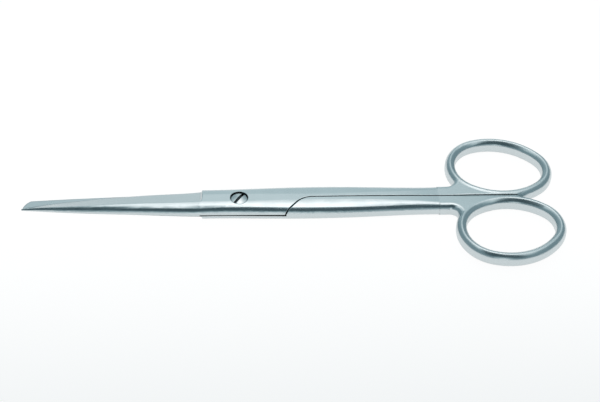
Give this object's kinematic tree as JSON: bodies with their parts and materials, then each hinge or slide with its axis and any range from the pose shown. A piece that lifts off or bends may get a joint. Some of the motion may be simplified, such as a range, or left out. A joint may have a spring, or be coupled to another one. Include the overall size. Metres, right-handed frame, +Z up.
{
  "type": "operating scissors",
  "caption": "Straight surgical operating scissors with a sharp and a blunt point, closed, with a slotted pivot screw and oval finger rings.",
  "frame": {"origin": "pivot axis at the resting plane, the centre of the underside of the box", "axes": "+X along the instrument towards the finger rings, +Y towards the ring of the upper half, +Z up along the pivot towards the screw head"},
  "size_m": [0.1653, 0.0546, 0.0054],
  "materials": {
    "satin_steel": "satin ground and glass beaded stainless steel",
    "screw_steel": "turned stainless steel with a ground face"
  },
  "bodies": {
    "lower": {"lower_half": "satin_steel", "pivot_screw": "screw_steel"},
    "upper": {"upper_half": "satin_steel"}
  },
  "joints": [
    {"name": "pivot", "type": "hinge", "parent": "lower", "child": "upper", "pos_m": [0, 0, 0], "axis": [0, 0, 1], "range_deg": [0, 136]}
  ]
}
